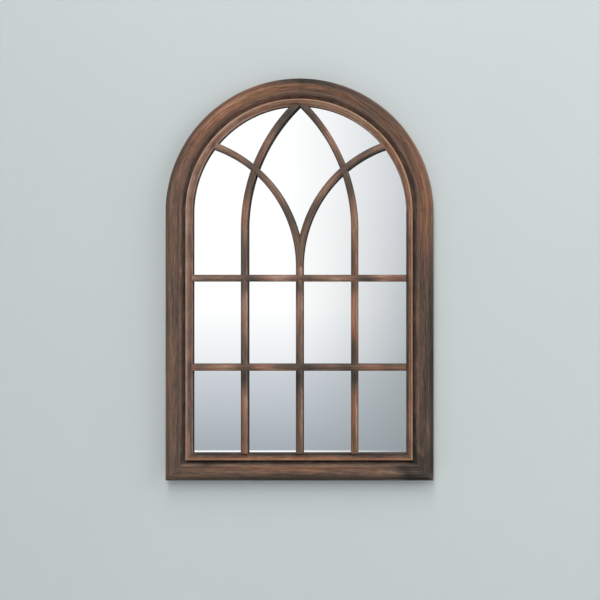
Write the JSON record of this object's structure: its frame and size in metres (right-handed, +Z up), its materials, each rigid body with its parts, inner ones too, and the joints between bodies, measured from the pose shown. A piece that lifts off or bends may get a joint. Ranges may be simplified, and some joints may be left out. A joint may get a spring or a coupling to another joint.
{
  "type": "wall mirror",
  "caption": "Arched wall mirror styled as a traceried window: moulded wood frame, lapped glazing bars over a sheet of mirror glass, and swinging D-ring hangers on its back.",
  "frame": {"origin": "on the wall, midway between the two points where the hanger rings bear on their hooks", "axes": "+X to the viewer's right, +Y into the wall, +Z up"},
  "size_m": [0.4, 0.0255, 0.6],
  "materials": {
    "frame_paint": "dark brown paint, dry-brushed with copper bronze",
    "bead_paint": "dark brown paint, dry-brushed with pale copper bronze",
    "bar_paint": "dark brown paint, dry-brushed with copper bronze",
    "mirror_silver": "silvered float glass",
    "hardboard": "smooth hardboard",
    "zinc_steel": "zinc-plated",
    "beech": "bare turned wood",
    "bumper_rubber": "soft moulded rubber"
  },
  "bodies": {
    "mirror": {"left_stile": "frame_paint", "right_stile": "frame_paint", "bottom_rail": "frame_paint", "left_arch_rail": "frame_paint", "right_arch_rail": "frame_paint", "left_bead": "bead_paint", "right_bead": "bead_paint", "bottom_bead": "bead_paint", "left_arch_bead": "bead_paint", "right_arch_bead": "bead_paint", "left_mullion": "bar_paint", "centre_mullion": "bar_paint", "right_mullion": "bar_paint", "lower_transom": "bar_paint", "upper_transom": "bar_paint", "left_crown_rib": "bar_paint", "right_crown_rib": "bar_paint", "left_y_rib": "bar_paint", "right_y_rib": "bar_paint", "mirror_glass": "mirror_silver", "back_board": "hardboard", "retaining_tabs": "zinc_steel", "frame_dowels": "beech", "corner_nails": "zinc_steel", "left_hanger_strap": "zinc_steel", "right_hanger_strap": "zinc_steel", "hanger_screws": "zinc_steel", "wall_bumpers": "bumper_rubber"},
    "left_ring": {"left_hanger_ring": "zinc_steel"},
    "right_ring": {"right_hanger_ring": "zinc_steel"}
  },
  "joints": [
    {"name": "left_ring_swing", "type": "hinge", "parent": "mirror", "child": "left_ring", "pos_m": [-0.186, -0.0021, -0.013], "axis": [-1, 0, 0], "range_deg": [0, 170]},
    {"name": "right_ring_swing", "type": "hinge", "parent": "mirror", "child": "right_ring", "pos_m": [0.186, -0.0021, -0.013], "axis": [-1, 0, 0], "range_deg": [0, 170]}
  ]
}
